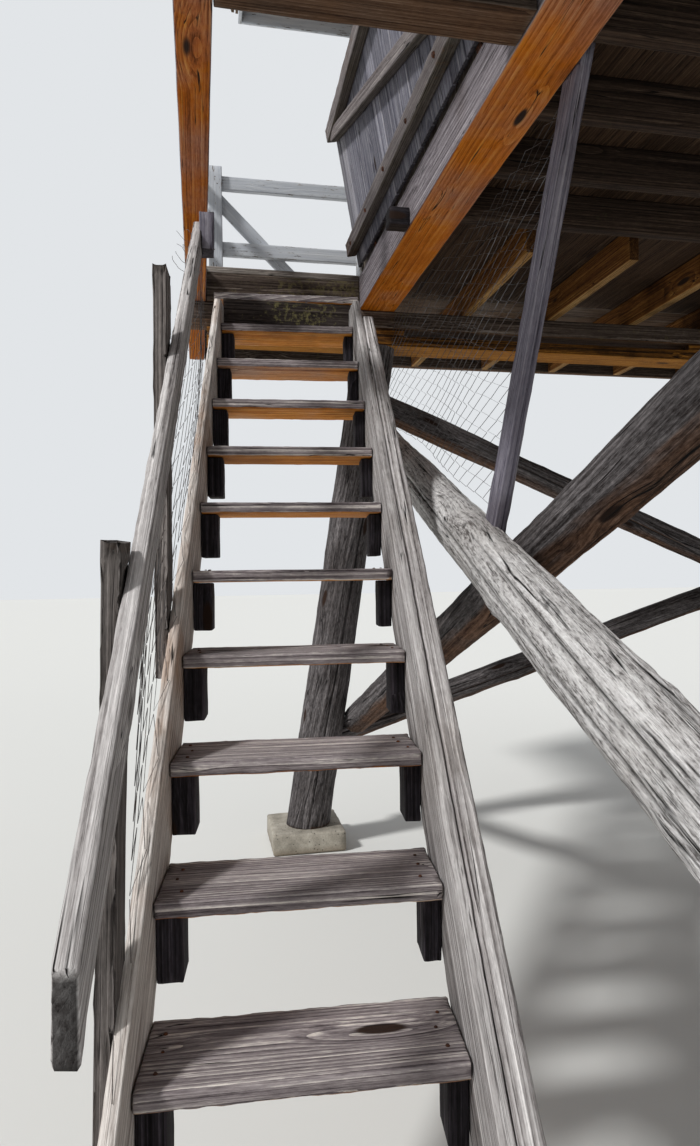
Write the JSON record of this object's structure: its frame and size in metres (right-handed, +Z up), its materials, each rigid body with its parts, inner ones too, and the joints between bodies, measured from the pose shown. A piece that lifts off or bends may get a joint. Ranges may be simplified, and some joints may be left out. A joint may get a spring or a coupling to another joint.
{
  "type": "fire lookout tower",
  "caption": "Low log lookout tower: square windowed cab on braced battered legs, railed catwalk all round and an open plank stair up through a hinged deck hatch.",
  "frame": {"origin": "on the ground, under the middle of the whole object's bounding box; the tower's own middle is a little to the +X side, because the stair stands out on the -X side", "axes": "+Z up; +Y is the way that the stair climbs; +X is to the right of someone who climbs it"},
  "size_m": [6.2972, 6.095, 6.5499],
  "materials": {
    "concrete": "rough cast concrete",
    "log": "weathered peeled log, grey in the light and dark brown in the shade",
    "beam": "weathered sawn timber, dark",
    "joist": "sawn timber, weathered brown",
    "floor": "worn floor boards",
    "deck": "grey weathered deck boards",
    "plank": "silver grey weathered plank",
    "cleat": "dark weathered block",
    "tread": "worn tread board",
    "white_paint": "flaking white paint on wood",
    "hatch_board": "tongued boards, faded purple grey",
    "iron": "rusted iron",
    "wall_board": "weathered vertical boards",
    "door_board": "weathered board door",
    "shingle": "weathered wood shingles",
    "glass": "clear window glass"
  },
  "bodies": {
    "tower": {"footings": "concrete", "legs": "log", "outer_braces": "log", "inner_braces": "log", "back_braces": "log", "front_braces": "log", "cap_beams": "beam", "bolsters": "beam", "sills": "beam", "outriggers": "joist", "side_rims": "beam", "end_rims": "beam", "floor_joists": "joist", "catwalk_joists": "joist", "cab_floor": "floor", "deck_left": "deck", "deck_right": "deck", "deck_front": "deck", "deck_back": "deck", "stair_headers": "beam", "stringer_left": "plank", "stringer_right": "plank", "sister_plank": "plank", "cleats": "cleat", "treads": "tread", "handrail": "plank", "handrail_posts": "cleat", "handrail_hanger": "cleat", "netting_post": "cleat", "railing_left": "white_paint", "railing_right": "white_paint", "railing_front": "white_paint", "railing_back": "white_paint", "hatch_ledger": "cleat", "hinge_leaves": "iron", "wall_left": "wall_board", "wall_right": "wall_board", "wall_front": "wall_board", "wall_back": "wall_board", "window_sashes": "white_paint", "window_glass": "glass", "door_leaf": "door_board", "top_plate": "beam", "roof": "shingle"},
    "hatch": {"hatch_boards": "hatch_board", "hatch_frame": "joist", "hatch_straps": "iron"}
  },
  "joints": [
    {"name": "hatch_hinge", "type": "hinge", "parent": "tower", "child": "hatch", "pos_m": [-2.0084, 0.913, 3.198], "axis": [0, 1, 0], "range_deg": [-80.5, 10]}
  ]
}
